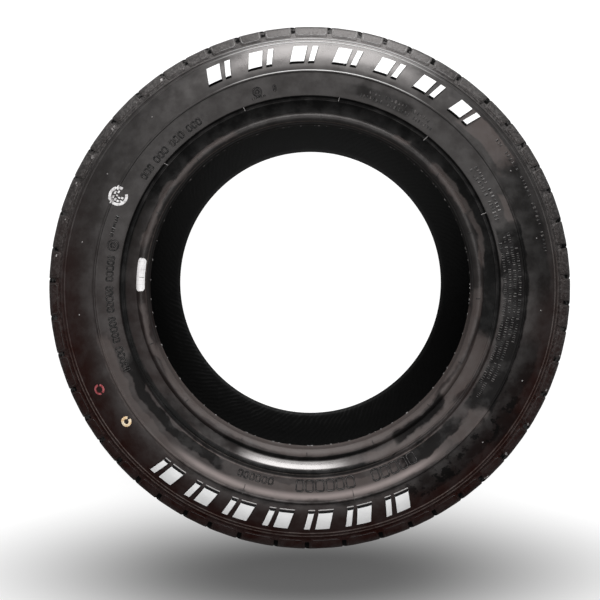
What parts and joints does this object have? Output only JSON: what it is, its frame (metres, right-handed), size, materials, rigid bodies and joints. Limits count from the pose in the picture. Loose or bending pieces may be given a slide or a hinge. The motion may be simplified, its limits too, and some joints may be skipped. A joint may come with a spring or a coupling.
{
  "type": "car tyre",
  "caption": "Low-profile car tyre: ribbed tread with slanted shoulder slots, rim-lip sidewalls, rounded beads with tapered toes and raised white bars on the front sidewall.",
  "frame": {"origin": "wheel centre, where the axle's axis meets the tread's middle plane", "axes": "+Z along the wheel axis, out of the side with the white bars; +Y is up on that side as pictured"},
  "size_m": [0.5446, 0.5446, 0.2267],
  "materials": {
    "tyre": "satin black rubber",
    "white_rubber": "matt white rubber",
    "label_paper": "blank white sticker",
    "white_ink": "white marking ink",
    "red_ink": "red marking ink",
    "yellow_ink": "pale yellow marking ink"
  },
  "bodies": {
    "root": {"tyre": "tyre", "upper_bars": "white_rubber", "lower_bars": "white_rubber", "bead_label": "label_paper"}
  },
  "joints": []
}
